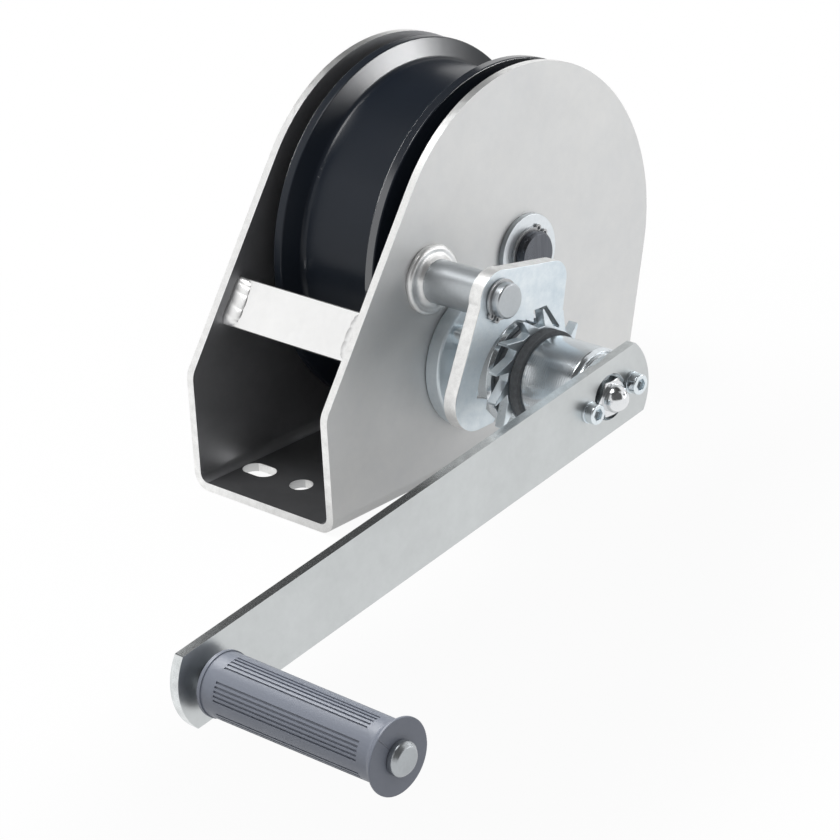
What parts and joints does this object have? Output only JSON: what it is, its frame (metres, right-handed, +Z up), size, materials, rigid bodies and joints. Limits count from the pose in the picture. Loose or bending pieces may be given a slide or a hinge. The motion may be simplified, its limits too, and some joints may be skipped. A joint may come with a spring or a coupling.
{
  "type": "hand-cranked wire rope winch",
  "caption": "Hand-cranked wire rope winch: bent sheet bracket, flanged rope drum with internal gearing, ratchet load brake and a long crank arm with a turning grip.",
  "frame": {"origin": "on the underside of the base, straight below the drum axle and midway between the side plates", "axes": "+Z up, the rope leaves the drum towards -X, the drum axle and all the shafts run along Y and the crank is on the -Y side"},
  "size_m": [0.3894, 0.281, 0.1805],
  "materials": {
    "galvanised_sheet": "satin zinc-plated sheet",
    "zinc_bar": "bright zinc plate",
    "weld_bead": "rough weld, plated over",
    "zinc_plate": "mottled pale blue zinc plate",
    "turned_zinc": "turned, zinc plated",
    "dark_steel": "turned bare steel",
    "spring_steel": "black oiled spring steel",
    "drum_paint": "gloss blue-black enamel",
    "gear_steel": "machined, greased",
    "bronze": "sintered bronze",
    "friction_lining": "pressed friction lining",
    "arm_plate": "satin zinc-plated flat bar",
    "nut_chrome": "polished",
    "screw_zinc": "zinc plated",
    "grip_plastic": "moulded, satin"
  },
  "bodies": {
    "frame": {"bracket": "galvanised_sheet", "cross_bar": "zinc_bar", "cross_bar_welds": "weld_bead", "drum_axle": "dark_steel", "axle_washers": "turned_zinc", "axle_circlips": "spring_steel", "drum_spacers": "bronze", "bearing_flange": "zinc_plate", "bearing_screws": "screw_zinc", "shaft_bushes": "bronze", "pawl_post": "turned_zinc", "pawl_post_weld": "weld_bead", "pawl_circlip": "spring_steel"},
    "drum": {"drum_core": "drum_paint", "near_flange": "drum_paint", "far_flange": "drum_paint", "drum_bushes": "bronze", "ring_gear": "gear_steel"},
    "drive": {"pinion_shaft": "gear_steel", "thrust_washer": "bronze", "pressure_disc": "turned_zinc", "inner_friction_disc": "friction_lining", "nut_washer": "turned_zinc", "cap_nut": "nut_chrome"},
    "ratchet": {"ratchet_wheel": "zinc_plate", "ratchet_bush": "bronze"},
    "pawl": {"pawl": "zinc_plate"},
    "crank": {"crank_hub": "turned_zinc", "outer_friction_disc": "friction_lining", "crank_arm": "arm_plate", "arm_lock_washers": "screw_zinc", "arm_screws": "screw_zinc", "handle_pin": "turned_zinc"},
    "grip": {"grip": "grip_plastic"}
  },
  "joints": [
    {"name": "drum_spin", "type": "hinge", "parent": "frame", "child": "drum", "pos_m": [0, 0, 0.0925], "axis": [0, 1, 0], "continuous": true},
    {"name": "shaft_spin", "type": "hinge", "parent": "frame", "child": "drive", "pos_m": [-0.03818, 0, 0.05432], "axis": [0, 1, 0], "continuous": true},
    {"name": "crank_release", "type": "hinge", "parent": "drive", "child": "crank", "pos_m": [-0.03818, 0, 0.05432], "axis": [0, 1, 0], "range_deg": [-25, 0]},
    {"name": "grip_spin", "type": "hinge", "parent": "crank", "child": "grip", "pos_m": [-0.28386, 0, 0.02044], "axis": [0, 1, 0], "continuous": true},
    {"name": "ratchet_advance", "type": "hinge", "parent": "frame", "child": "ratchet", "pos_m": [-0.03818, 0, 0.05432], "axis": [0, 1, 0], "range_deg": [0, 6]},
    {"name": "pawl_lift", "type": "hinge", "parent": "frame", "child": "pawl", "pos_m": [-0.06398, 0, 0.09972], "axis": [0, -1, 0], "range_deg": [0, 4.8]}
  ],
  "couplings": [
    {"joint": "shaft_spin", "follows": "drum_spin", "ratio": 5.5},
    {"joint": "pawl_lift", "follows": "ratchet_advance", "ratio": 0.8}
  ]
}
